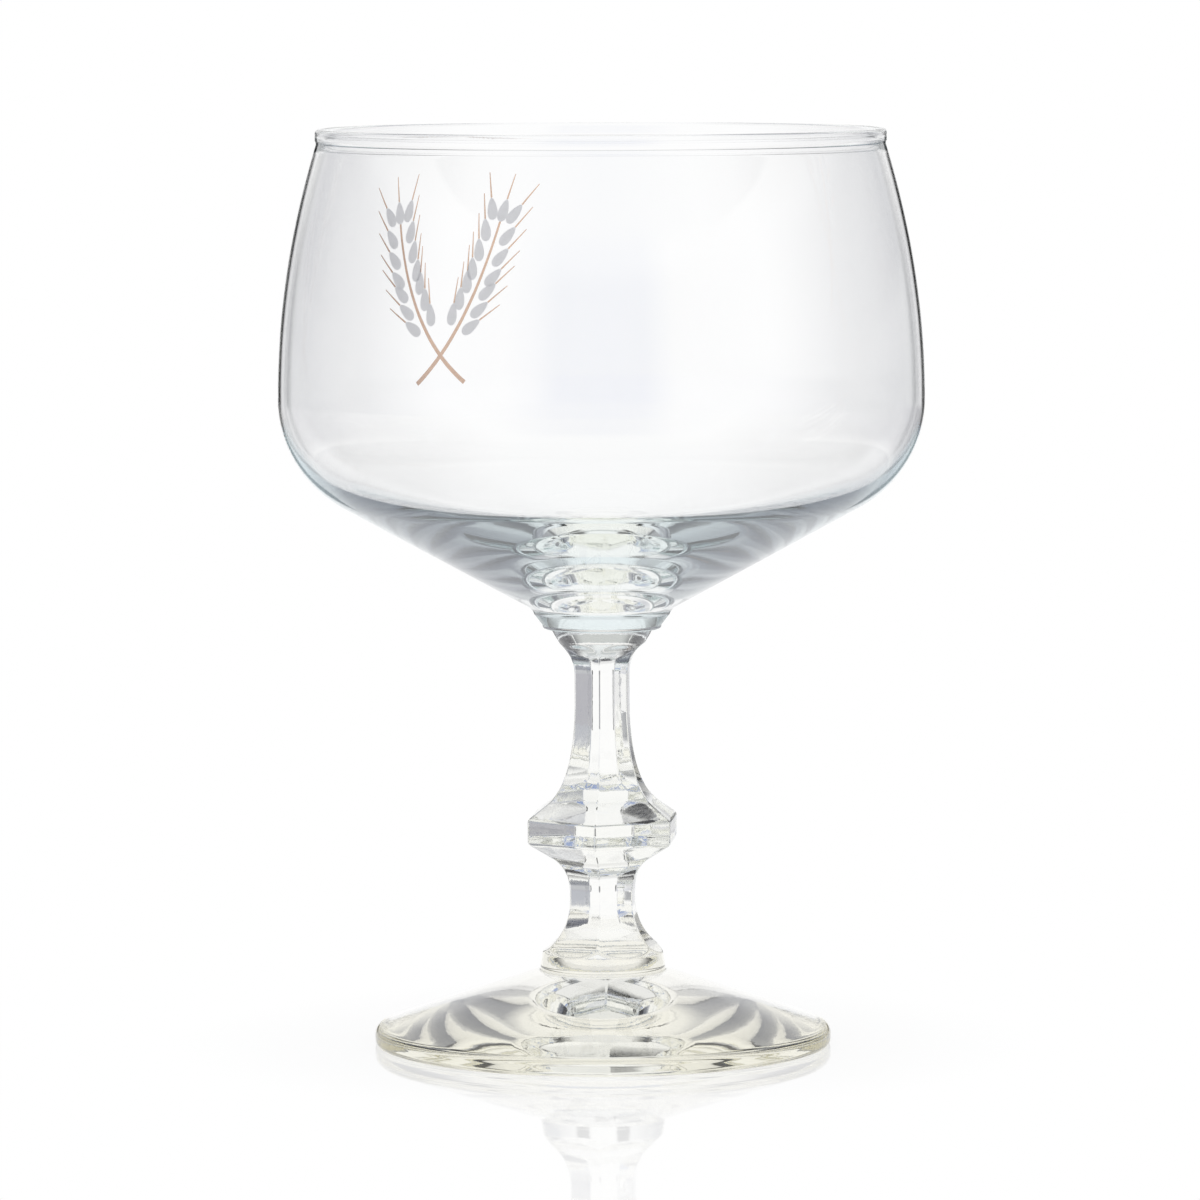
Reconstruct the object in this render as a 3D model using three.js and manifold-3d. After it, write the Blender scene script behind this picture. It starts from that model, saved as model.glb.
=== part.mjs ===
// A stemmed beer goblet: a blown bowl on a fused wafer, a pressed six-sided stem with a knop, and a pressed foot.
// Millimetres, +Z up. The origin is the middle of the foot, on the table. One corner of the stem faces -Y.
import * as THREE from "three";
import { mergeVertices } from "three/addons/utils/BufferGeometryUtils.js";
import Module from "manifold-3d";

const wasm = await Module();
wasm.setup();

// Heights of the four fused pieces, from the table up
const FOOT_HEIGHT = 11.5;
const STEM_HEIGHT = 53.7;
const WAFER_HEIGHT = 2.3;
const BOWL_HEIGHT = 75.5;

// Bowl: outside of the blown cup, then its wall and solid base
const RIM_RADIUS = 44.2;
const BELLY_RADIUS = 50.3;
const BELLY_ABOVE_SEAT = 33.7;
const SHOULDER_RADIUS = 19.1;
const NECK_RADIUS = 10.6;
const NECK_FILLET = 2.2;
const NECK_STEEPNESS = THREE.MathUtils.degToRad(70);
const WALL = 0.8;
const BEAD_PROUD = 0.25;
const BASE_THICKNESS = 3.2;
const INNER_SHOULDER_RADIUS = 17;
const INNER_BOTTOM_RADIUS = 18;

// Wafer: the disc between bowl and stem
const WAFER_LEDGE = 1.3;
const WAFER_EDGE_ROUND = 0.6;

// Stem: corner radii of the hexagon and the heights of its scooped facets, above the stem's seat
const SIDES = 6;
const TRUMPET_RADIUS = 8;
const TRUMPET_SCOOP = 5.3;
const TRUMPET_CUSP = THREE.MathUtils.degToRad(27);
const TRUMPET_ABOVE_SEAT = 46.7;
const UPPER_WAIST_RADIUS = 4.75;
const UPPER_WAIST_ABOVE_SEAT = 42.5;
const UPPER_SCOOP_CORNER = 30.3;
const UPPER_FLARE_RADIUS = 9.2;
const UPPER_FLARE_ABOVE_SEAT = 26.7;
const KNOP_RADIUS = 12.85;
const KNOP_TOP_ABOVE_SEAT = 24.2;
const KNOP_BOTTOM_ABOVE_SEAT = 20.4;
const LOWER_FLARE_RADIUS = 8.55;
const LOWER_FLARE_ABOVE_SEAT = 17.9;
const LOWER_SCOOP_CORNER = 16;
const LOWER_WAIST_RADIUS = 5.65;
const LOWER_WAIST_TOP = 12.4;
const LOWER_WAIST_BOTTOM = 11.1;
const COLLAR_SCOOP = 9;
const COLLAR_CUSP = THREE.MathUtils.degToRad(53);
const COLLAR_RADIUS = 9.75;
const COLLAR_LIP_HEIGHT = 0.9;
const COLLAR_LIP_PROUD = 0.35;

// Foot: a shallow cone with a rounded edge, standing on a flat ring round a shallow hollow
const FOOT_RADIUS = 35.7;
const FOOT_SEAT_LEDGE = 0.2;
const FOOT_EDGE_HEIGHT = 2.7;
const FOOT_EDGE_ROUND = 1.6;
const FOOT_BASE_ROUND = 0.9;
const REST_RING_WIDTH = 5;
const HOLLOW_DEPTH = 1.2;

// Fineness of the facets
const ROUND_SEGMENTS = 60;
const BOWL_STEPS = 4;
const SMALL_STEPS = 2;
const STEM_STEPS = 5;

// Clear glass
const glass = new THREE.MeshStandardMaterial({
  color: 0xe9efe9,
  roughness: 0.03,
  metalness: 0,
  transparent: true,
  opacity: 0.35,
});

// Heights where the pieces meet
const stemSeat = FOOT_HEIGHT;
const waferSeat = stemSeat + STEM_HEIGHT;
const bowlSeat = waferSeat + WAFER_HEIGHT;
const rimTop = bowlSeat + BOWL_HEIGHT;

// A profile of radius and height, turned about the Z axis with its first vertex row facing -Y
function turned(profile, steps, segments) {
  return new THREE.LatheGeometry(profile.getPoints(steps), segments).rotateX(Math.PI / 2);
}

// A closed geometry as a solid for booleans
function solidOf(geometry) {
  const bare = new THREE.BufferGeometry();
  bare.setAttribute("position", geometry.getAttribute("position"));
  bare.setIndex(geometry.getIndex());
  const merged = mergeVertices(bare, 1e-4);
  const corners = [];
  for (let i = 0; i < merged.index.count; i += 3) {
    const [a, b, c] = [0, 1, 2].map((k) => merged.index.getX(i + k));
    if (a !== b && b !== c && c !== a) corners.push(a, b, c);
  }
  return new wasm.Manifold(
    new wasm.Mesh({
      numProp: 3,
      vertProperties: merged.attributes.position.array,
      triVerts: new Uint32Array(corners),
    }),
  );
}

// A solid as a geometry again
function geometryOf(solid) {
  const mesh = solid.getMesh();
  const geometry = new THREE.BufferGeometry();
  geometry.setAttribute("position", new THREE.BufferAttribute(mesh.vertProperties, 3));
  geometry.setIndex(new THREE.BufferAttribute(mesh.triVerts, 1));
  geometry.computeVertexNormals();
  return geometry;
}

// Slope of the line that touches two circles from below: the upper one round, the lower one round or, with a
// negative radius, hollow
function tangentSlope(upper, upperRadius, lower, lowerRadius) {
  const between = upper.clone().sub(lower);
  return between.angle() + Math.asin((lowerRadius - upperRadius) / between.length());
}

// The bowl: solid base, cone, round shoulder, long side curve, fire-polished bead, and back down the inside
function makeBowl() {
  const quarter = Math.PI / 2;
  const belly = bowlSeat + BELLY_ABOVE_SEAT;
  const shoulder = new THREE.Vector2(BELLY_RADIUS - SHOULDER_RADIUS, belly);
  const fillet = new THREE.Vector2(
    NECK_RADIUS + NECK_FILLET * Math.sin(NECK_STEEPNESS),
    bowlSeat - NECK_FILLET * Math.cos(NECK_STEEPNESS),
  );
  const outerSlope = tangentSlope(shoulder, SHOULDER_RADIUS, fillet, -NECK_FILLET);
  const hollow = new THREE.Vector2(0, bowlSeat + BASE_THICKNESS + INNER_BOTTOM_RADIUS);
  const innerShoulder = new THREE.Vector2(BELLY_RADIUS - WALL - INNER_SHOULDER_RADIUS, belly);
  const innerSlope = tangentSlope(innerShoulder, INNER_SHOULDER_RADIUS, hollow, INNER_BOTTOM_RADIUS);
  const beadRadius = WALL / 2 + BEAD_PROUD;
  const beadAngle = Math.acos(WALL / 2 / beadRadius);
  const beadHeight = rimTop - beadRadius;
  const wallTop = beadHeight - beadRadius * Math.sin(beadAngle);
  const halfway = (belly + wallTop) / 2;

  const profile = new THREE.Path();
  profile.moveTo(0, bowlSeat);
  profile.lineTo(NECK_RADIUS, bowlSeat);
  profile.absarc(fillet.x, fillet.y, NECK_FILLET, quarter + NECK_STEEPNESS, quarter + outerSlope, true);
  profile.absarc(shoulder.x, shoulder.y, SHOULDER_RADIUS, outerSlope - quarter, 0, false);
  profile.quadraticCurveTo(BELLY_RADIUS, halfway, RIM_RADIUS, wallTop);
  profile.absarc(RIM_RADIUS - WALL / 2, beadHeight, beadRadius, -beadAngle, Math.PI + beadAngle, false);
  profile.quadraticCurveTo(BELLY_RADIUS - WALL, halfway, BELLY_RADIUS - WALL, belly);
  profile.absarc(innerShoulder.x, innerShoulder.y, INNER_SHOULDER_RADIUS, 0, innerSlope - quarter, true);
  profile.absarc(0, hollow.y, INNER_BOTTOM_RADIUS, innerSlope - quarter, -quarter, true);
  return turned(profile, BOWL_STEPS, ROUND_SEGMENTS);
}

// The wafer: a short tapered disc with a rounded lower edge, proud of the stem's top
function makeWafer() {
  const lowerRadius = TRUMPET_RADIUS + WAFER_LEDGE;
  const profile = new THREE.Path();
  profile.moveTo(0, waferSeat);
  profile.lineTo(lowerRadius - WAFER_EDGE_ROUND, waferSeat);
  profile.quadraticCurveTo(lowerRadius, waferSeat, lowerRadius, waferSeat + WAFER_EDGE_ROUND);
  profile.lineTo(NECK_RADIUS, bowlSeat);
  profile.lineTo(0, bowlSeat);
  return turned(profile, SMALL_STEPS, ROUND_SEGMENTS);
}

// The stem: a hexagon of scooped facets, cut by a round outline that leaves a trumpet above and a collar below.
// Facets and round outline share one height at each end, where the corners run out into the round.
function makeStem() {
  const quarter = Math.PI / 2;
  const trumpetStart = stemSeat + TRUMPET_ABOVE_SEAT;
  const trumpetHub = UPPER_WAIST_RADIUS + TRUMPET_SCOOP;
  const collarStart = stemSeat + LOWER_WAIST_BOTTOM;
  const collarHub = LOWER_WAIST_RADIUS + COLLAR_SCOOP;

  const facets = new THREE.Path();
  facets.moveTo(0, stemSeat);
  facets.lineTo(collarHub, stemSeat);
  facets.absarc(collarHub, collarStart, COLLAR_SCOOP, 3 * quarter, Math.PI + COLLAR_CUSP, true);
  facets.absarc(collarHub, collarStart, COLLAR_SCOOP, Math.PI + COLLAR_CUSP, Math.PI, true);
  facets.lineTo(LOWER_WAIST_RADIUS, stemSeat + LOWER_WAIST_TOP);
  facets.quadraticCurveTo(
    LOWER_WAIST_RADIUS,
    stemSeat + LOWER_SCOOP_CORNER,
    LOWER_FLARE_RADIUS,
    stemSeat + LOWER_FLARE_ABOVE_SEAT,
  );
  facets.lineTo(KNOP_RADIUS, stemSeat + KNOP_BOTTOM_ABOVE_SEAT);
  facets.lineTo(KNOP_RADIUS, stemSeat + KNOP_TOP_ABOVE_SEAT);
  facets.lineTo(UPPER_FLARE_RADIUS, stemSeat + UPPER_FLARE_ABOVE_SEAT);
  facets.quadraticCurveTo(
    UPPER_WAIST_RADIUS,
    stemSeat + UPPER_SCOOP_CORNER,
    UPPER_WAIST_RADIUS,
    stemSeat + UPPER_WAIST_ABOVE_SEAT,
  );
  facets.absarc(trumpetHub, trumpetStart, TRUMPET_SCOOP, Math.PI, Math.PI - TRUMPET_CUSP, true);
  facets.absarc(trumpetHub, trumpetStart, TRUMPET_SCOOP, Math.PI - TRUMPET_CUSP, quarter, true);
  facets.lineTo(trumpetHub, waferSeat);
  facets.lineTo(0, waferSeat);

  const clear = KNOP_RADIUS + COLLAR_RADIUS;
  const collarCusp = new THREE.Vector2(
    collarHub - COLLAR_SCOOP * Math.cos(COLLAR_CUSP),
    collarStart - COLLAR_SCOOP * Math.sin(COLLAR_CUSP),
  );
  const trumpetCusp = new THREE.Vector2(
    trumpetHub - TRUMPET_SCOOP * Math.cos(TRUMPET_CUSP),
    trumpetStart + TRUMPET_SCOOP * Math.sin(TRUMPET_CUSP),
  );
  const round = new THREE.Path();
  round.moveTo(0, stemSeat);
  round.lineTo(COLLAR_RADIUS + COLLAR_LIP_PROUD, stemSeat);
  round.quadraticCurveTo(COLLAR_RADIUS, stemSeat, COLLAR_RADIUS, stemSeat + COLLAR_LIP_HEIGHT);
  round.lineTo(collarCusp.x, collarCusp.y);
  round.lineTo(clear, collarCusp.y);
  round.lineTo(clear, trumpetCusp.y);
  round.lineTo(trumpetCusp.x, trumpetCusp.y);
  round.lineTo(TRUMPET_RADIUS, waferSeat);
  round.lineTo(0, waferSeat);

  const hexagon = solidOf(turned(facets, STEM_STEPS, SIDES));
  const outline = solidOf(turned(round, SMALL_STEPS, ROUND_SEGMENTS));
  return geometryOf(hexagon.intersect(outline));
}

// The foot: hollowed underneath, flat resting ring, rounded edge, cone up to the flat seat of the stem
function makeFoot() {
  const seatRadius = COLLAR_RADIUS + COLLAR_LIP_PROUD + FOOT_SEAT_LEDGE;
  const slope = Math.atan2(FOOT_HEIGHT - FOOT_EDGE_HEIGHT, FOOT_RADIUS - seatRadius);
  const ringOuter = FOOT_RADIUS - FOOT_BASE_ROUND;
  const ringInner = ringOuter - REST_RING_WIDTH;
  const edgeCentre = FOOT_EDGE_HEIGHT + FOOT_EDGE_ROUND * (Math.tan(slope) - 1 / Math.cos(slope));

  const profile = new THREE.Path();
  profile.moveTo(0, HOLLOW_DEPTH);
  profile.quadraticCurveTo(ringInner / 2, HOLLOW_DEPTH, ringInner, 0);
  profile.lineTo(ringOuter, 0);
  profile.quadraticCurveTo(FOOT_RADIUS, 0, FOOT_RADIUS, FOOT_BASE_ROUND);
  profile.absarc(FOOT_RADIUS - FOOT_EDGE_ROUND, edgeCentre, FOOT_EDGE_ROUND, 0, Math.PI / 2 - slope, false);
  profile.lineTo(seatRadius, FOOT_HEIGHT);
  profile.lineTo(0, FOOT_HEIGHT);
  return turned(profile, SMALL_STEPS, ROUND_SEGMENTS);
}

// The goblet, from the table up
const goblet = new THREE.Group();
const makers = { foot: makeFoot, stem: makeStem, wafer: makeWafer, bowl: makeBowl };
for (const [name, make] of Object.entries(makers)) {
  const mesh = new THREE.Mesh(make(), glass);
  mesh.name = name;
  goblet.add(mesh);
}

export default goblet;
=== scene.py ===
"""A stemmed beer goblet of clear glass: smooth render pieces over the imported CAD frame, in metres, +Z up."""

import math

import bpy
import numpy as np
from mathutils import Matrix, Vector


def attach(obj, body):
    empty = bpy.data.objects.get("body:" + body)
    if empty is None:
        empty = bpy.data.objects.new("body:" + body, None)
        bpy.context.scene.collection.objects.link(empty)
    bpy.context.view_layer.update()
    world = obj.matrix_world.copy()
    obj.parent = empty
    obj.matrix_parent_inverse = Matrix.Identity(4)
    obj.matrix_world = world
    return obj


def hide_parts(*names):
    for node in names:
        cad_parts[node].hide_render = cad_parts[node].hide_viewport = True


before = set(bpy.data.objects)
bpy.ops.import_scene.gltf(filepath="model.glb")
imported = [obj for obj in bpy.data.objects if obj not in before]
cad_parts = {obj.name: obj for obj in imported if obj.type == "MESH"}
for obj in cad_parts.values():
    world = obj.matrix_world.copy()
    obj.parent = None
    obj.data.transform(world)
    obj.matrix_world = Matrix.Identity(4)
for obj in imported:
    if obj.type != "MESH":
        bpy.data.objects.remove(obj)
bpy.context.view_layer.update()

MM = 0.001
QUARTER = math.pi / 2
SHARP_EDGE = math.radians(28)
SAME_POINT = 1e-8
SAME_LEVEL = 1e-7
WHITE = (1.0, 1.0, 1.0)

# Heights where the fused pieces meet, as in the CAD
STEM_SEAT = 11.5 * MM
WAFER_SEAT = 65.2 * MM
BOWL_SEAT = 67.5 * MM
RIM_TOP = 143.0 * MM

# Bowl
RIM_RADIUS = 44.2 * MM
BELLY_RADIUS = 50.3 * MM
BELLY_HEIGHT = BOWL_SEAT + 33.7 * MM
SHOULDER_RADIUS = 19.1 * MM
NECK_RADIUS = 10.6 * MM
NECK_FILLET = 2.2 * MM
NECK_STEEPNESS = math.radians(70)
WALL = 0.8 * MM
BASE_THICKNESS = 3.2 * MM
INNER_SHOULDER_RADIUS = 17.0 * MM
INNER_BOTTOM_RADIUS = 18.0 * MM
BOWL_SEGMENTS = 360

# Rim bead: an upright band that stands a little proud outside and swells inwards
BEAD_THICKNESS = 1.3 * MM
BEAD_LIP = 0.15 * MM
BEAD_HEIGHT = 2.1 * MM
BEAD_SWELL = 0.25 * MM
WALL_TOP = RIM_TOP - BEAD_HEIGHT - BEAD_SWELL

# Wafer
WAFER_RADIUS = 9.3 * MM
WAFER_EDGE_ROUND = 0.6 * MM
WAFER_SEGMENTS = 240

# Stem: the radii of waists, flares and knop are those of the hexagon's corners
SIDES = 6
EDGE_ROUND = 0.3 * MM
TRUMPET_RADIUS = 8.0 * MM
TRUMPET_SCOOP = 5.3 * MM
TRUMPET_CUSP = math.radians(27)
TRUMPET_START = STEM_SEAT + 46.7 * MM
UPPER_WAIST_RADIUS = 4.75 * MM
UPPER_WAIST = STEM_SEAT + 42.5 * MM
UPPER_SCOOP_CORNER = STEM_SEAT + 30.3 * MM
UPPER_FLARE_RADIUS = 9.2 * MM
UPPER_FLARE = STEM_SEAT + 26.7 * MM
KNOP_RADIUS = 12.85 * MM
KNOP_TOP = STEM_SEAT + 24.2 * MM
KNOP_BOTTOM = STEM_SEAT + 20.4 * MM
LOWER_FLARE_RADIUS = 8.55 * MM
LOWER_FLARE = STEM_SEAT + 17.9 * MM
LOWER_SCOOP_CORNER = STEM_SEAT + 16.0 * MM
LOWER_WAIST_RADIUS = 5.65 * MM
LOWER_WAIST_TOP = STEM_SEAT + 12.4 * MM
COLLAR_START = STEM_SEAT + 11.1 * MM
COLLAR_SCOOP = 9.0 * MM
COLLAR_CUSP = math.radians(53)
COLLAR_RADIUS = 9.75 * MM
COLLAR_LIP_HEIGHT = 0.9 * MM
COLLAR_LIP_PROUD = 0.35 * MM
CUSP_STEP = 0.02 * MM
STEM_SEGMENTS = 384
STEM_ROWS = 420
CORNER_ROWS = (-0.15 * MM, -0.08 * MM, 0, 0.08 * MM, 0.15 * MM)

# Foot: its underside is a hollow cone inside a narrow resting ring
FOOT_RADIUS = 35.7 * MM
FOOT_SEAT_LEDGE = 0.2 * MM
FOOT_SEAT_RADIUS = COLLAR_RADIUS + COLLAR_LIP_PROUD + FOOT_SEAT_LEDGE
FOOT_EDGE_HEIGHT = 2.7 * MM
FOOT_EDGE_ROUND = 1.6 * MM
FOOT_BASE_ROUND = 0.9 * MM
REST_RING_WIDTH = 1.1 * MM
HOLLOW_DEPTH = 5.0 * MM
HOLLOW_FULLNESS = 0.66
FOOT_SEGMENTS = 360

# Print: two crossed barley ears on the far side of the bowl, a film on the outside of the glass
PRINT_TURN = math.radians(-36.8)
PRINT_HEIGHT = 116.0 * MM
FILM_GAP = 0.04 * MM
STALK_FOOT = (-4.5 * MM, -15.0 * MM)
STALK_BEND = (5.5 * MM, -7.0 * MM)
STALK_TIP = (9.5 * MM, 11.0 * MM)
STALK_STEPS = 40
STALK_WIDTH = 0.75 * MM
AWN_WIDTH = 0.3 * MM
AWN_LENGTH = 4.2 * MM
GRAIN_LENGTH = 3.7 * MM
GRAIN_WIDTH = 1.7 * MM
GRAIN_TAPER = 0.35
GRAIN_LEAN = math.radians(24)
GRAIN_SPREAD = 0.75 * GRAIN_WIDTH
GRAIN_ROWS = 7
FIRST_GRAIN_STEP = 17
GILT_PATCH = 1.2 * MM
ENAMEL_PATCH = 0.8 * MM
ENAMEL_GLOW = 0.6

# Glass: absorption of red, green and blue for each metre crossed
GLASS_IOR = 1.52
BLOWN_ABSORPTION = (3.2, 1.8, 1.6)
PRESSED_ABSORPTION = (1.3, 1.2, 2.6)
POLISHED_ABSORPTION = (1.5, 1.8, 3.6)
WIPE_MARKS_PER_METRE = 60
BOUNCES = 80
SEAT_CROSSINGS = 32

# Tabletop: each fade is given by the distances from the axis where it starts and ends
FLOOR_RADIUS = 240 * MM
FLOOR_DROP = 0.02 * MM
SHADOW_SHARE = 0.12
SHADOW_FADE = (34 * MM, 70 * MM)
MIRROR_SHARE = 0.30
MIRROR_FADE = (40 * MM, 235 * MM)
# Painted shade on the tabletop's sides, seen through the glass, fades in between these distances
PAINTED_SHADE_FADE = (42 * MM, 85 * MM)

# Camera: lens and sensor in millimetres
CAMERA_AZIMUTH = math.radians(5.2)
CAMERA_DISTANCE = 1080.9 * MM
CAMERA_HEIGHT = 167.6 * MM
CAMERA_PITCH = math.radians(5.18)
CAMERA_ROLL = math.radians(-0.15)
CAMERA_LENS = 208.8
CAMERA_SENSOR = 36
CAMERA_SIDEWAYS = -0.3 * MM

# Studio: what the glass shows around it.
# Each row is a direction in degrees, clockwise from straight behind seen from above, and its colour.
BACK = -CAMERA_AZIMUTH

# Below the horizon: dim sides, and a narrow dark flag on each side of the white back
LOW = (
    (-180, (0.48, 0.52, 0.64)),
    (-164, (0.50, 0.54, 0.64)),
    (-145, (0.84, 0.84, 0.86)),
    (-108, (0.95, 0.95, 0.95)),
    (-68, (0.36, 0.36, 0.39)),
    (-46, (0.55, 0.55, 0.58)),
    (-25, (0.76, 0.76, 0.77)),
    (-18, (0.80, 0.80, 0.81)),
    (-16, (0.10, 0.10, 0.10)),
    (-12, (0.10, 0.10, 0.10)),
    (-10, (1.00, 1.00, 1.00)),
    (10, (1.00, 1.00, 1.00)),
    (12, (0.10, 0.10, 0.10)),
    (16, (0.10, 0.10, 0.10)),
    (18, (0.60, 0.60, 0.62)),
    (24, (0.52, 0.52, 0.54)),
    (38, (0.40, 0.40, 0.44)),
    (68, (0.32, 0.32, 0.36)),
    (85, (0.40, 0.40, 0.43)),
    (110, (0.85, 0.85, 0.86)),
    (154, (0.88, 0.88, 0.90)),
    (165, (0.50, 0.54, 0.64)),
    (180, (0.48, 0.52, 0.64)),
)

# At the horizon: black flags beside the white back, dark sides, two soft boxes and a blue-grey gap in front
WALLS = (
    (-180, (0.31, 0.37, 0.62)),
    (-164, (0.31, 0.37, 0.62)),
    (-145, (0.94, 0.94, 0.97)),
    (-118, (0.86, 0.87, 0.92)),
    (-85, (0.16, 0.17, 0.20)),
    (-54, (0.30, 0.31, 0.35)),
    (-40, (0.52, 0.53, 0.55)),
    (-19, (0.84, 0.84, 0.85)),
    (-17, (0.02, 0.02, 0.02)),
    (-10, (0.02, 0.02, 0.02)),
    (-8, (1.00, 1.00, 1.00)),
    (8, (1.00, 1.00, 1.00)),
    (10, (0.02, 0.02, 0.02)),
    (17, (0.02, 0.02, 0.02)),
    (19, (0.84, 0.84, 0.85)),
    (40, (0.50, 0.51, 0.53)),
    (54, (0.30, 0.31, 0.35)),
    (85, (0.16, 0.17, 0.20)),
    (118, (0.82, 0.83, 0.88)),
    (154, (0.96, 0.96, 0.98)),
    (165, (0.31, 0.37, 0.62)),
    (180, (0.31, 0.37, 0.62)),
)

# Above the horizon: a wider white back, dark sides, the soft boxes and the gap
BOXES = (
    (-180, (0.32, 0.40, 0.66)),
    (-164, (0.32, 0.40, 0.66)),
    (-145, (0.96, 0.96, 0.98)),
    (-120, (0.96, 0.96, 0.98)),
    (-82, (0.16, 0.17, 0.22)),
    (-56, (0.16, 0.17, 0.21)),
    (-40, (0.36, 0.37, 0.41)),
    (-27, (0.92, 0.92, 0.92)),
    (-12, (1.00, 1.00, 1.00)),
    (12, (1.00, 1.00, 1.00)),
    (27, (0.92, 0.92, 0.92)),
    (38, (0.28, 0.29, 0.33)),
    (56, (0.14, 0.15, 0.19)),
    (85, (0.15, 0.16, 0.21)),
    (118, (0.96, 0.96, 0.98)),
    (154, (0.96, 0.96, 0.98)),
    (165, (0.32, 0.40, 0.66)),
    (180, (0.32, 0.40, 0.66)),
)

# Higher up: a back panel between nearly black sides
UPPER = (
    (-180, (0.54, 0.58, 0.72)),
    (-160, (0.70, 0.72, 0.80)),
    (-125, (1.00, 1.00, 1.00)),
    (-85, (0.02, 0.02, 0.03)),
    (-32, (0.06, 0.06, 0.06)),
    (-18, (0.85, 0.85, 0.85)),
    (18, (0.85, 0.85, 0.85)),
    (32, (0.06, 0.06, 0.06)),
    (85, (0.02, 0.02, 0.03)),
    (125, (1.00, 1.00, 1.00)),
    (160, (0.70, 0.72, 0.80)),
    (180, (0.54, 0.58, 0.72)),
)

# Overhead: an even grey
OVERHEAD = (
    (-180, (0.58, 0.60, 0.60)),
    (180, (0.58, 0.60, 0.60)),
)

# Painted shade on the tabletop as the glass shows it, away from the foot: dark sides by direction
PAINTED_TABLE_SHADE = (
    (-180, (1.00, 1.00, 1.00)),
    (-135, (1.00, 1.00, 1.00)),
    (-105, (0.35, 0.36, 0.38)),
    (-70, (0.35, 0.36, 0.38)),
    (-46, (0.50, 0.51, 0.55)),
    (-24, (1.00, 1.00, 1.00)),
    (18, (1.00, 1.00, 1.00)),
    (36, (0.42, 0.44, 0.50)),
    (70, (0.35, 0.36, 0.38)),
    (105, (0.35, 0.36, 0.38)),
    (135, (1.00, 1.00, 1.00)),
    (180, (1.00, 1.00, 1.00)),
)

# Bands from the table upwards: lower edge and its softness to each side, both in degrees, and colours
BANDS = (
    (-20, 3, LOW),
    (-4.6, 0.7, WALLS),
    (3, 1.5, BOXES),
    (21, 3, UPPER),
    (62, 9, OVERHEAD),
)


# Curves as rows of (radius, height)

def arc(centre_r, centre_z, radius, start, end, steps):
    angles = np.linspace(start, end, steps + 1)
    return np.column_stack([centre_r + radius * np.cos(angles), centre_z + radius * np.sin(angles)])


def bend(start, corner, end, steps):
    t = np.linspace(0, 1, steps + 1)[:, None]
    start, corner, end = np.array(start), np.array(corner), np.array(end)
    return (1 - t) ** 2 * start + 2 * t * (1 - t) * corner + t ** 2 * end


def line(start, end, steps):
    t = np.linspace(0, 1, steps + 1)[:, None]
    return (1 - t) * np.array(start) + t * np.array(end)


def chain(*curves):
    """Curves end to end, without the repeated points."""
    points = np.vstack(curves)
    apart = np.linalg.norm(np.diff(points, axis=0), axis=1) > SAME_POINT
    return points[np.concatenate([[True], apart])]


def tangent_slope(upper, upper_radius, lower, lower_radius):
    """Slope of the line under two circles; a negative lower radius is a hollow curve."""
    between = np.array(upper) - np.array(lower)
    lean = math.asin((lower_radius - upper_radius) / np.linalg.norm(between))
    return math.atan2(between[1], between[0]) + lean


# Meshes

def add_piece(name, points, faces, weld_faces=()):
    mesh = bpy.data.meshes.new(name)
    mesh.from_pydata([tuple(p) for p in points], [], faces)
    mesh.update()
    mesh.polygons.foreach_set("use_smooth", [True] * len(mesh.polygons))
    mesh.set_sharp_from_angle(angle=SHARP_EDGE)
    piece = bpy.data.objects.new(name, mesh)
    bpy.context.scene.collection.objects.link(piece)
    for index in weld_faces:
        mesh.polygons[index].material_index = 1
    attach(piece, "root")
    return piece


def turned(name, profile, segments, is_weld):
    """A closed profile that starts and ends on the axis, turned about Z."""
    angles = np.linspace(0, 2 * math.pi, segments, endpoint=False) - QUARTER
    points = [(0.0, 0.0, profile[0][1])]
    for radius, height in profile[1:-1]:
        points += [(radius * math.cos(a), radius * math.sin(a), height) for a in angles]
    points.append((0.0, 0.0, profile[-1][1]))
    top = len(points) - 1
    rings = len(profile) - 2
    faces = []
    weld_faces = []

    def ring(i, j):
        return 1 + i * segments + j % segments

    def keep(face, a, b):
        if is_weld(a, b):
            weld_faces.append(len(faces))
        faces.append(face)

    for j in range(segments):
        keep((0, ring(0, j + 1), ring(0, j)), profile[0], profile[1])
        for i in range(rings - 1):
            quad = (ring(i, j), ring(i, j + 1), ring(i + 1, j + 1), ring(i + 1, j))
            keep(quad, profile[i + 1], profile[i + 2])
        keep((ring(rings - 1, j), ring(rings - 1, j + 1), top), profile[-2], profile[-1])
    return add_piece(name, points, faces, weld_faces)


def flat_at(height, radius=math.inf):
    """True for a profile step that lies on a fused seat, inside radius."""
    def test(a, b):
        level = abs(a[1] - height) < SAME_LEVEL and abs(b[1] - height) < SAME_LEVEL
        return level and max(a[0], b[0]) < radius + SAME_LEVEL
    return test


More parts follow.
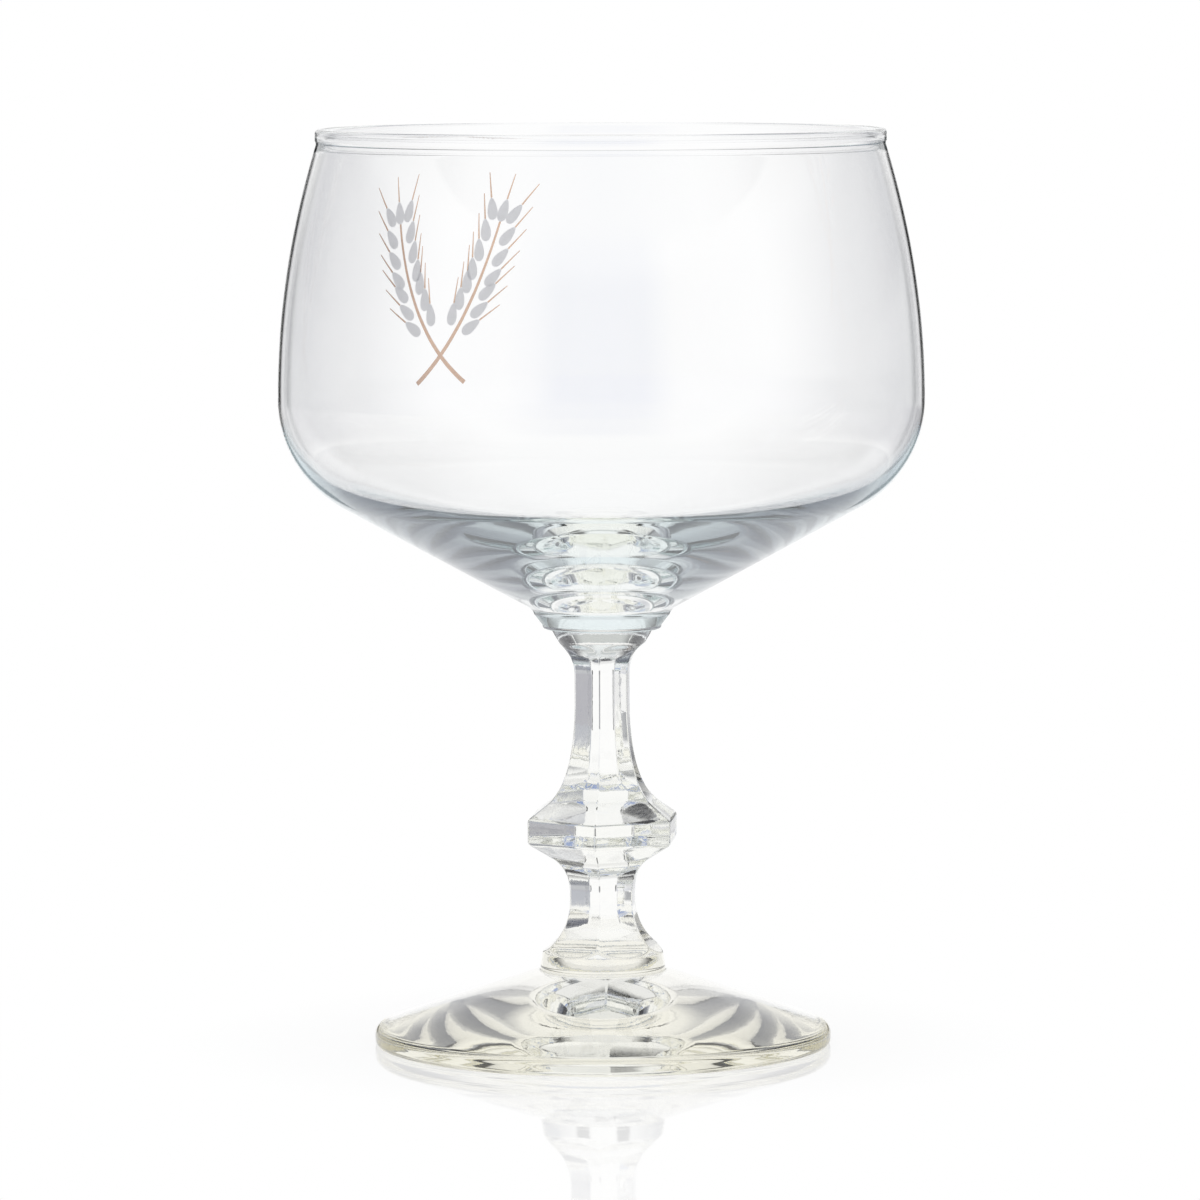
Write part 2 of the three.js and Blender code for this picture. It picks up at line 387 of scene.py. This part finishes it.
def make_bowl():
    shoulder = (BELLY_RADIUS - SHOULDER_RADIUS, BELLY_HEIGHT)
    fillet = (
        NECK_RADIUS + NECK_FILLET * math.sin(NECK_STEEPNESS),
        BOWL_SEAT - NECK_FILLET * math.cos(NECK_STEEPNESS),
    )
    outer_slope = tangent_slope(shoulder, SHOULDER_RADIUS, fillet, -NECK_FILLET)
    hollow_z = BOWL_SEAT + BASE_THICKNESS + INNER_BOTTOM_RADIUS
    inner_shoulder = (BELLY_RADIUS - WALL - INNER_SHOULDER_RADIUS, BELLY_HEIGHT)
    inner_slope = tangent_slope(inner_shoulder, INNER_SHOULDER_RADIUS, (0, hollow_z), INNER_BOTTOM_RADIUS)
    inner_bottom = (
        INNER_BOTTOM_RADIUS * math.sin(inner_slope),
        hollow_z - INNER_BOTTOM_RADIUS * math.cos(inner_slope),
    )
    bead_radius = BEAD_THICKNESS / 2
    bead_z = RIM_TOP - bead_radius
    bead_base = WALL_TOP + BEAD_SWELL
    bead_out = RIM_RADIUS + BEAD_LIP
    bead_in = bead_out - BEAD_THICKNESS
    lip = (bead_out, bead_base + 2 * BEAD_LIP)
    halfway = (BELLY_HEIGHT + WALL_TOP) / 2
    inner_radius = BELLY_RADIUS - WALL
    neck = arc(*fillet, NECK_FILLET, QUARTER + NECK_STEEPNESS, QUARTER + outer_slope, 14)
    round_shoulder = arc(*shoulder, SHOULDER_RADIUS, outer_slope - QUARTER, 0, 40)
    inner_round = arc(*inner_shoulder, INNER_SHOULDER_RADIUS, 0, inner_slope - QUARTER, 40)
    profile = chain(
        line((0, BOWL_SEAT), (NECK_RADIUS, BOWL_SEAT), 1),
        neck,
        line(neck[-1], round_shoulder[0], 16),
        round_shoulder,
        bend((BELLY_RADIUS, BELLY_HEIGHT), (BELLY_RADIUS, halfway), (RIM_RADIUS, WALL_TOP), 30),
        bend((RIM_RADIUS, WALL_TOP), (RIM_RADIUS, bead_base), lip, 8),
        line(lip, (bead_out, bead_z), 4),
        arc(bead_out - bead_radius, bead_z, bead_radius, 0, math.pi, 20),
        bend((bead_in, bead_z), (bead_in, bead_base), (RIM_RADIUS - WALL, WALL_TOP), 12),
        bend((RIM_RADIUS - WALL, WALL_TOP), (inner_radius, halfway), (inner_radius, BELLY_HEIGHT), 30),
        inner_round,
        line(inner_round[-1], inner_bottom, 16),
        arc(0, hollow_z, INNER_BOTTOM_RADIUS, inner_slope - QUARTER, -QUARTER, 8),
    )
    profile[-1][0] = 0
    return turned("bowl_glass", profile, BOWL_SEGMENTS, flat_at(BOWL_SEAT))


def make_wafer():
    edge_start = (WAFER_RADIUS - WAFER_EDGE_ROUND, WAFER_SEAT)
    edge_end = (WAFER_RADIUS, WAFER_SEAT + WAFER_EDGE_ROUND)
    profile = chain(
        line((0, WAFER_SEAT), (TRUMPET_RADIUS, WAFER_SEAT), 1),
        line((TRUMPET_RADIUS, WAFER_SEAT), edge_start, 2),
        bend(edge_start, (WAFER_RADIUS, WAFER_SEAT), edge_end, 8),
        line(edge_end, (NECK_RADIUS, BOWL_SEAT), 6),
        line((NECK_RADIUS, BOWL_SEAT), (0, BOWL_SEAT), 1),
    )
    on_stem = flat_at(WAFER_SEAT, TRUMPET_RADIUS)
    under_bowl = flat_at(BOWL_SEAT)
    return turned("wafer_glass", profile, WAFER_SEGMENTS, lambda a, b: on_stem(a, b) or under_bowl(a, b))


def make_foot():
    slope = math.atan2(STEM_SEAT - FOOT_EDGE_HEIGHT, FOOT_RADIUS - FOOT_SEAT_RADIUS)
    ring_outer = FOOT_RADIUS - FOOT_BASE_ROUND
    ring_inner = ring_outer - REST_RING_WIDTH
    edge_z = FOOT_EDGE_HEIGHT + FOOT_EDGE_ROUND * (math.tan(slope) - 1 / math.cos(slope))
    collar = COLLAR_RADIUS + COLLAR_LIP_PROUD
    edge = arc(FOOT_RADIUS - FOOT_EDGE_ROUND, edge_z, FOOT_EDGE_ROUND, 0, QUARTER - slope, 12)
    profile = chain(
        bend((0, HOLLOW_DEPTH), (ring_inner / 2, HOLLOW_FULLNESS * HOLLOW_DEPTH), (ring_inner, 0), 24),
        line((ring_inner, 0), (ring_outer, 0), 4),
        bend((ring_outer, 0), (FOOT_RADIUS, 0), (FOOT_RADIUS, FOOT_BASE_ROUND), 8),
        edge,
        line(edge[-1], (FOOT_SEAT_RADIUS, STEM_SEAT), 24),
        line((FOOT_SEAT_RADIUS, STEM_SEAT), (collar, STEM_SEAT), 1),
        line((collar, STEM_SEAT), (0, STEM_SEAT), 1),
    )
    return turned("foot_glass", profile, FOOT_SEGMENTS, flat_at(STEM_SEAT, collar))


def stem_curves():
    """Corner radius of the facets, and radius of the round ends, as curves of (radius, height)."""
    trumpet_hub = UPPER_WAIST_RADIUS + TRUMPET_SCOOP
    collar_hub = LOWER_WAIST_RADIUS + COLLAR_SCOOP
    facets = chain(
        arc(collar_hub, COLLAR_START, COLLAR_SCOOP, 3 * QUARTER, math.pi, 60),
        line((LOWER_WAIST_RADIUS, COLLAR_START), (LOWER_WAIST_RADIUS, LOWER_WAIST_TOP), 4),
        bend((LOWER_WAIST_RADIUS, LOWER_WAIST_TOP), (LOWER_WAIST_RADIUS, LOWER_SCOOP_CORNER),
             (LOWER_FLARE_RADIUS, LOWER_FLARE), 30),
        line((LOWER_FLARE_RADIUS, LOWER_FLARE), (KNOP_RADIUS, KNOP_BOTTOM), 16),
        line((KNOP_RADIUS, KNOP_BOTTOM), (KNOP_RADIUS, KNOP_TOP), 16),
        line((KNOP_RADIUS, KNOP_TOP), (UPPER_FLARE_RADIUS, UPPER_FLARE), 16),
        bend((UPPER_FLARE_RADIUS, UPPER_FLARE), (UPPER_WAIST_RADIUS, UPPER_SCOOP_CORNER),
             (UPPER_WAIST_RADIUS, UPPER_WAIST), 60),
        line((UPPER_WAIST_RADIUS, UPPER_WAIST), (UPPER_WAIST_RADIUS, TRUMPET_START), 8),
        arc(trumpet_hub, TRUMPET_START, TRUMPET_SCOOP, math.pi, QUARTER, 60),
    )
    collar_cusp = (
        collar_hub - COLLAR_SCOOP * math.cos(COLLAR_CUSP),
        COLLAR_START - COLLAR_SCOOP * math.sin(COLLAR_CUSP),
    )
    trumpet_cusp = (
        trumpet_hub - TRUMPET_SCOOP * math.cos(TRUMPET_CUSP),
        TRUMPET_START + TRUMPET_SCOOP * math.sin(TRUMPET_CUSP),
    )
    far = KNOP_RADIUS + COLLAR_RADIUS
    lip = (COLLAR_RADIUS + COLLAR_LIP_PROUD, STEM_SEAT)
    ends = chain(
        bend(lip, (COLLAR_RADIUS, STEM_SEAT), (COLLAR_RADIUS, STEM_SEAT + COLLAR_LIP_HEIGHT), 12),
        line((COLLAR_RADIUS, STEM_SEAT + COLLAR_LIP_HEIGHT), collar_cusp, 10),
        line(collar_cusp, (far, collar_cusp[1] + CUSP_STEP), 1),
        line((far, trumpet_cusp[1] - CUSP_STEP), trumpet_cusp, 1),
        line(trumpet_cusp, (TRUMPET_RADIUS, WAFER_SEAT), 20),
    )
    return facets, ends


def soft_min(a, b, width):
    """The smaller of two lengths, with the corner between them rounded over about width."""
    return np.minimum(a, b) - width / 4 * np.clip(1 - np.abs(a - b) / width, 0, 1) ** 2


def stem_heights():
    """Even rows from seat to seat, with more of them close to each corner."""
    corners = (KNOP_BOTTOM, KNOP_TOP, LOWER_FLARE, UPPER_FLARE, STEM_SEAT, WAFER_SEAT)
    near = [corner + offset for corner in corners for offset in CORNER_ROWS]
    rows = np.concatenate([np.linspace(STEM_SEAT, WAFER_SEAT, STEM_ROWS), near])
    return np.unique(np.clip(rows, STEM_SEAT, WAFER_SEAT).round(7))


def make_stem():
    facets, ends = stem_curves()
    heights = stem_heights()
    order = np.argsort(facets[:, 1], kind="stable")
    rounding = np.linspace(-EDGE_ROUND, EDGE_ROUND, 7)[:, None]
    corner_radius = np.interp(heights + rounding, facets[order, 1], facets[order, 0]).mean(axis=0)
    order = np.argsort(ends[:, 1], kind="stable")
    round_radius = np.interp(heights, ends[order, 1], ends[order, 0])
    angles = np.linspace(0, 2 * math.pi, STEM_SEGMENTS, endpoint=False) - QUARTER
    sector = 2 * math.pi / SIDES
    from_corner = np.mod(angles + QUARTER, sector)
    in_first_half = from_corner < sector / 2
    from_next_face = np.where(in_first_half, from_corner + sector / 2, 1.5 * sector - from_corner)
    this_face = 1 / np.cos(from_corner - sector / 2)
    next_face = 1 / np.cos(from_next_face)
    apothem = corner_radius[:, None] * math.cos(sector / 2)
    hexagon = soft_min(apothem * this_face, apothem * next_face, EDGE_ROUND)
    radius = soft_min(hexagon, round_radius[:, None] * np.ones(STEM_SEGMENTS), EDGE_ROUND)

    points = [(0.0, 0.0, STEM_SEAT)]
    for i, height in enumerate(heights):
        points += [(r * math.cos(a), r * math.sin(a), height) for r, a in zip(radius[i], angles)]
    points.append((0.0, 0.0, WAFER_SEAT))
    top = len(points) - 1
    last = len(heights) - 1
    faces = []
    weld_faces = []

    def at(i, j):
        return 1 + i * STEM_SEGMENTS + j % STEM_SEGMENTS

    for j in range(STEM_SEGMENTS):
        weld_faces += [len(faces), len(faces) + 1]
        faces += [(0, at(0, j + 1), at(0, j)), (at(last, j), at(last, j + 1), top)]
    for i in range(last):
        for j in range(STEM_SEGMENTS):
            faces.append((at(i, j), at(i, j + 1), at(i + 1, j + 1), at(i + 1, j)))
    return add_piece("stem_glass", points, faces, weld_faces)


# Print

def on_wall(across, up):
    """A point of the film: across runs along the wall, to the right seen from inside the bowl."""
    height = PRINT_HEIGHT + up
    share = (height - BELLY_HEIGHT) / (WALL_TOP - BELLY_HEIGHT)
    radius = BELLY_RADIUS - (BELLY_RADIUS - RIM_RADIUS) * max(share, 0) ** 2 + FILM_GAP
    turn = PRINT_TURN + across / radius
    return (radius * math.sin(turn), radius * math.cos(turn), height)


def directions(path):
    """Unit vectors along a path."""
    along = np.gradient(path, axis=0)
    return along / np.linalg.norm(along, axis=1)[:, None]


def add_ribbon(points, faces, path, start_width, end_width):
    """A flat line along path, drawn with quads."""
    along = directions(path)
    aside = np.column_stack([-along[:, 1], along[:, 0]])
    half = np.linspace(start_width, end_width, len(path))[:, None] / 2
    first = len(points)
    for left, right in zip(path + aside * half, path - aside * half):
        points += [on_wall(*left), on_wall(*right)]
    for i in range(first, first + 2 * len(path) - 2, 2):
        faces.append((i, i + 1, i + 3, i + 2))


def add_grain(points, faces, middle, direction):
    """A flat almond shape, drawn as a fan."""
    aside = np.array([-direction[1], direction[0]])
    first = len(points)
    points.append(on_wall(*middle))
    steps = 20
    for t in np.linspace(0, 2 * math.pi, steps, endpoint=False):
        out = GRAIN_LENGTH / 2 * math.cos(t)
        narrow = GRAIN_WIDTH / 2 * math.sin(t) * (1 - GRAIN_TAPER * math.cos(t))
        points.append(on_wall(*(middle + direction * out + aside * narrow)))
    for i in range(steps):
        faces.append((first, first + 1 + i, first + 1 + (i + 1) % steps))


def make_print():
    gilt_points, gilt_faces = [], []
    grey_points, grey_faces = [], []
    rows = np.linspace(FIRST_GRAIN_STEP, STALK_STEPS, GRAIN_ROWS).round().astype(int)
    for side in (-1, 1):
        corners = [(side * across, up) for across, up in (STALK_FOOT, STALK_BEND, STALK_TIP)]
        stalk = bend(*corners, STALK_STEPS)
        add_ribbon(gilt_points, gilt_faces, stalk, STALK_WIDTH, STALK_WIDTH / 2)
        along = directions(stalk)
        for row in rows:
            aside = np.array([-along[row][1], along[row][0]])
            leans = (-1, 0, 1) if row == rows[-1] else (-1, 1)
            for lean in leans:
                angle = lean * GRAIN_LEAN
                spin = np.array([[math.cos(angle), -math.sin(angle)], [math.sin(angle), math.cos(angle)]])
                direction = spin @ along[row]
                middle = stalk[row] + lean * aside * GRAIN_SPREAD + direction * GRAIN_LENGTH / 2
                add_grain(grey_points, grey_faces, middle, direction)
                tip = middle + direction * GRAIN_LENGTH / 2
                awn = line(tip, tip + direction * AWN_LENGTH, 6)
                add_ribbon(gilt_points, gilt_faces, awn, AWN_WIDTH, AWN_WIDTH / 2)
    gilt = add_piece("gilt_stalks", gilt_points, gilt_faces)
    gilt.data.materials.append(make_gilding())
    grains = add_piece("enamel_grains", grey_points, grey_faces)
    grains.data.materials.append(make_enamel())


# Shader nodes

def new_material(name):
    material = bpy.data.materials.new(name)
    material.use_nodes = True
    nodes = material.node_tree.nodes
    nodes.clear()
    output = nodes.new("ShaderNodeOutputMaterial")
    return material, material.node_tree, output


def add_node(tree, kind, **settings):
    node = tree.nodes.new(kind)
    for key, value in settings.items():
        setattr(node, key, value)
    return node


def add_math(tree, operation, *values):
    """One calculation on sockets and plain numbers."""
    node = add_node(tree, "ShaderNodeMath", operation=operation)
    for socket, value in zip(node.inputs, values):
        if isinstance(value, (int, float)):
            socket.default_value = value
        else:
            tree.links.new(value, socket)
    return node.outputs[0]


def add_step(tree, value, start, end, before=0, after=1):
    """A smooth change from before to after, while value goes from start to end."""
    step = add_node(tree, "ShaderNodeMapRange", interpolation_type="SMOOTHSTEP")
    step.inputs["From Min"].default_value = start
    step.inputs["From Max"].default_value = end
    step.inputs["To Min"].default_value = before
    step.inputs["To Max"].default_value = after
    tree.links.new(value, step.inputs["Value"])
    return step.outputs[0]


def add_noise(tree, place, scale, low, high):
    """A soft pattern between two values."""
    noise = add_node(tree, "ShaderNodeTexNoise")
    noise.inputs["Scale"].default_value = scale
    tree.links.new(place.outputs["Object"], noise.inputs["Vector"])
    values = add_node(tree, "ShaderNodeMapRange")
    values.inputs["To Min"].default_value = low
    values.inputs["To Max"].default_value = high
    tree.links.new(noise.outputs[0], values.inputs["Value"])
    return values.outputs[0]


def add_blend(tree, factor, below, above):
    """One colour over another. Each is a socket or a plain colour."""
    blend = add_node(tree, "ShaderNodeMix", data_type="RGBA")
    tree.links.new(factor, blend.inputs["Factor"])
    for socket, colour in ((blend.inputs["A"], below), (blend.inputs["B"], above)):
        if isinstance(colour, tuple):
            socket.default_value = (*colour, 1)
        else:
            tree.links.new(colour, socket)
    return blend.outputs["Result"]


def add_turn(tree, parts):
    """Direction about the upright axis, from 0 to 1, with straight behind at the middle."""
    turn = add_math(tree, "ARCTAN2", parts.outputs["X"], parts.outputs["Y"])
    from_back = add_math(tree, "SUBTRACT", turn, BACK)
    around = add_math(tree, "WRAP", from_back, math.pi, -math.pi)
    share = add_node(tree, "ShaderNodeMapRange")
    share.inputs["From Min"].default_value = -math.pi
    share.inputs["From Max"].default_value = math.pi
    tree.links.new(around, share.inputs["Value"])
    return share.outputs[0]


def add_ramp(tree, position, stops):
    """Colours by direction."""
    ramp = add_node(tree, "ShaderNodeValToRGB")
    elements = ramp.color_ramp.elements
    while len(elements) < len(stops):
        elements.new(1)
    for element, (degrees, colour) in zip(elements, stops):
        element.position = (degrees + 180) / 360
        element.color = (*colour, 1)
    tree.links.new(position, ramp.inputs[0])
    return ramp.outputs[0]


def add_mixed_shader(tree, share, below, above):
    """One shader over another. The share of the upper one is a socket or a plain number."""
    mixed = add_node(tree, "ShaderNodeMixShader")
    if isinstance(share, float):
        mixed.inputs[0].default_value = share
    else:
        tree.links.new(share, mixed.inputs[0])
    tree.links.new(below.outputs[0], mixed.inputs[1])
    tree.links.new(above.outputs[0], mixed.inputs[2])
    return mixed


# Materials

def make_weld():
    """Fused glass: nothing shows where two pieces meet."""
    material, tree, output = new_material("fused_seat")
    clear = add_node(tree, "ShaderNodeBsdfTransparent")
    tree.links.new(clear.outputs[0], output.inputs["Surface"])
    return material


def make_glass(name, absorption, ripple_size, ripple_stretch, ripple_depth, roughness):
    """Clear glass whose tint deepens with the length of glass that a ray has crossed."""
    material, tree, output = new_material(name)
    link = tree.links.new
    glass = add_node(tree, "ShaderNodeBsdfGlass")
    glass.inputs["IOR"].default_value = GLASS_IOR
    link(glass.outputs[0], output.inputs["Surface"])

    path = add_node(tree, "ShaderNodeLightPath")
    shape = add_node(tree, "ShaderNodeNewGeometry")
    passed = add_node(tree, "ShaderNodeCombineColor")
    for socket, strength in zip(passed.inputs, absorption):
        lost = add_math(tree, "MULTIPLY", path.outputs["Ray Length"], -strength)
        link(add_math(tree, "EXPONENT", lost), socket)
    tint = add_blend(tree, shape.outputs["Backfacing"], WHITE, passed.outputs[0])
    link(tint, glass.inputs["Color"])

    place = add_node(tree, "ShaderNodeTexCoord")
    stretch = add_node(tree, "ShaderNodeMapping")
    stretch.inputs["Scale"].default_value = ripple_stretch
    link(place.outputs["Object"], stretch.inputs["Vector"])
    ripple = add_node(tree, "ShaderNodeTexNoise")
    ripple.inputs["Scale"].default_value = 1 / ripple_size
    ripple.inputs["Detail"].default_value = 2
    link(stretch.outputs[0], ripple.inputs["Vector"])
    bump = add_node(tree, "ShaderNodeBump")
    bump.inputs["Strength"].default_value = 1
    bump.inputs["Distance"].default_value = ripple_depth
    link(ripple.outputs[0], bump.inputs["Height"])
    link(bump.outputs[0], glass.inputs["Normal"])
    link(add_noise(tree, place, WIPE_MARKS_PER_METRE, 0, roughness), glass.inputs["Roughness"])
    return material


def make_gilding():
    """Thin fired-on gold, a little uneven."""
    material, tree, output = new_material("gilding")
    gold = add_node(tree, "ShaderNodeBsdfPrincipled")
    gold.inputs["Base Color"].default_value = (0.78, 0.52, 0.36, 1)
    gold.inputs["Metallic"].default_value = 1
    place = add_node(tree, "ShaderNodeTexCoord")
    tree.links.new(add_noise(tree, place, 1 / GILT_PATCH, 0.12, 0.34), gold.inputs["Roughness"])
    tree.links.new(gold.outputs[0], output.inputs["Surface"])
    return material


def make_enamel():
    """Thin pale grey enamel that lets some light through."""
    material, tree, output = new_material("enamel")
    paint = add_node(tree, "ShaderNodeBsdfPrincipled")
    paint.inputs["Base Color"].default_value = (0.80, 0.80, 0.82, 1)
    place = add_node(tree, "ShaderNodeTexCoord")
    tree.links.new(add_noise(tree, place, 1 / ENAMEL_PATCH, 0.25, 0.5), paint.inputs["Roughness"])
    glow = add_node(tree, "ShaderNodeBsdfTranslucent")
    glow.inputs["Color"].default_value = (0.86, 0.86, 0.88, 1)
    mixed = add_mixed_shader(tree, ENAMEL_GLOW, paint, glow)
    tree.links.new(mixed.outputs[0], output.inputs["Surface"])
    return material


def make_floor_material():
    """White glossy tabletop: its own white, with the object's shadow and a mirror image that fades, and
    painted shade on its sides that only rays through the glass see.
    """
    material, tree, output = new_material("white_tabletop")
    link = tree.links.new
    path = add_node(tree, "ShaderNodeLightPath")
    straight = path.outputs["Is Camera Ray"]
    through_glass = path.outputs["Is Transmission Ray"]
    matt = add_node(tree, "ShaderNodeBsdfDiffuse")
    matt.inputs["Color"].default_value = (0.98, 0.98, 0.98, 1)
    mirror = add_node(tree, "ShaderNodeBsdfGlossy")
    mirror.inputs["Color"].default_value = (1, 1, 1, 1)
    mirror.inputs["Roughness"].default_value = 0.02

    place = add_node(tree, "ShaderNodeTexCoord")
    length = add_node(tree, "ShaderNodeVectorMath", operation="LENGTH")
    link(place.outputs["Object"], length.inputs[0])
    away = length.outputs["Value"]
    parts = add_node(tree, "ShaderNodeSeparateXYZ")
    link(place.outputs["Object"], parts.inputs[0])
    # Painted shade: rays through the glass see the tabletop's sides in shade, away from the foot
    table = add_ramp(tree, add_turn(tree, parts), PAINTED_TABLE_SHADE)
    painted_shade_share = add_math(tree, "MULTIPLY", through_glass, add_step(tree, away, *PAINTED_SHADE_FADE))
    shown = add_math(tree, "MAXIMUM", straight, path.outputs["Is Glossy Ray"])
    white = add_node(tree, "ShaderNodeEmission")
    link(add_blend(tree, painted_shade_share, WHITE, table), white.inputs["Color"])
    link(add_math(tree, "MAXIMUM", shown, through_glass), white.inputs["Strength"])

    shadow = add_math(tree, "MULTIPLY", add_step(tree, away, *SHADOW_FADE, SHADOW_SHARE, 0), straight)
    shine = add_math(tree, "MULTIPLY", add_step(tree, away, *MIRROR_FADE, MIRROR_SHARE, 0), straight)
    with_shadow = add_mixed_shader(tree, shadow, white, matt)
    surface = add_mixed_shader(tree, shine, with_shadow, mirror)
    link(surface.outputs[0], output.inputs["Surface"])
    return material


# Stage

def make_world():
    world = bpy.data.worlds.new("studio")
    bpy.context.scene.world = world
    world.use_nodes = True
    tree = world.node_tree
    tree.nodes.clear()
    link = tree.links.new
    place = add_node(tree, "ShaderNodeTexCoord")
    parts = add_node(tree, "ShaderNodeSeparateXYZ")
    link(place.outputs["Generated"], parts.inputs[0])
    turn = add_turn(tree, parts)
    rise = add_math(tree, "ARCSINE", parts.outputs["Z"])

    studio = WHITE
    for start, softness, stops in BANDS:
        into_band = add_step(tree, rise, math.radians(start - softness), math.radians(start + softness))
        studio = add_blend(tree, into_band, studio, add_ramp(tree, turn, stops))

    path = add_node(tree, "ShaderNodeLightPath")
    plain = add_math(tree, "MAXIMUM", path.outputs["Is Camera Ray"], path.outputs["Is Diffuse Ray"])
    light = add_node(tree, "ShaderNodeBackground")
    link(add_blend(tree, plain, studio, WHITE), light.inputs["Color"])
    output = add_node(tree, "ShaderNodeOutputWorld")
    link(light.outputs[0], output.inputs["Surface"])


def make_floor():
    segments = 96
    angles = np.linspace(0, 2 * math.pi, segments, endpoint=False)
    points = [(FLOOR_RADIUS * math.cos(a), FLOOR_RADIUS * math.sin(a), 0) for a in angles]
    mesh = bpy.data.meshes.new("tabletop")
    mesh.from_pydata(points, [], [tuple(range(segments))])
    floor = bpy.data.objects.new("tabletop", mesh)
    floor.location.z = -FLOOR_DROP
    bpy.context.scene.collection.objects.link(floor)
    mesh.materials.append(make_floor_material())


def make_camera():
    data = bpy.data.cameras.new("camera")
    camera = bpy.data.objects.new("camera", data)
    bpy.context.scene.collection.objects.link(camera)
    bpy.context.scene.camera = camera
    data.sensor_width = CAMERA_SENSOR
    data.lens = CAMERA_LENS
    data.clip_start = 0.05
    data.clip_end = 50
    turn = Matrix.Rotation(CAMERA_AZIMUTH, 4, "Z")
    tilt = Matrix.Rotation(QUARTER - CAMERA_PITCH, 4, "X")
    roll = Matrix.Rotation(CAMERA_ROLL, 4, "Z")
    stand = Matrix.Translation(Vector((CAMERA_SIDEWAYS, -CAMERA_DISTANCE, CAMERA_HEIGHT)))
    camera.matrix_world = turn @ stand @ tilt @ roll


def finish_glass():
    weld = make_weld()
    blown = make_glass(
        "blown_glass", BLOWN_ABSORPTION,
        ripple_size=9 * MM, ripple_stretch=(1, 1, 0.5), ripple_depth=0.004 * MM, roughness=0.002,
    )
    pressed = make_glass(
        "pressed_glass", PRESSED_ABSORPTION,
        ripple_size=0.9 * MM, ripple_stretch=(1, 1, 0.6), ripple_depth=0.016 * MM, roughness=0.003,
    )
    polished = make_glass(
        "polished_glass", POLISHED_ABSORPTION,
        ripple_size=2.5 * MM, ripple_stretch=(1, 1, 0.6), ripple_depth=0.006 * MM, roughness=0.003,
    )
    makers = {
        "bowl": (make_bowl, blown, "blown_glass"),
        "wafer": (make_wafer, polished, "pressed_glass"),
        "stem": (make_stem, pressed, "pressed_glass"),
        "foot": (make_foot, polished, "pressed_glass"),
    }
    for node, (make, glass, slot) in makers.items():
        piece = make()
        piece.data.materials.append(glass)
        piece.data.materials.append(weld)
        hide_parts(node)


finish_glass()
make_print()
make_world()
make_floor()
make_camera()

scene = bpy.context.scene
scene.view_settings.view_transform = "Standard"
scene.cycles.max_bounces = BOUNCES
scene.cycles.transmission_bounces = BOUNCES
scene.cycles.glossy_bounces = BOUNCES
scene.cycles.transparent_max_bounces = SEAT_CROSSINGS
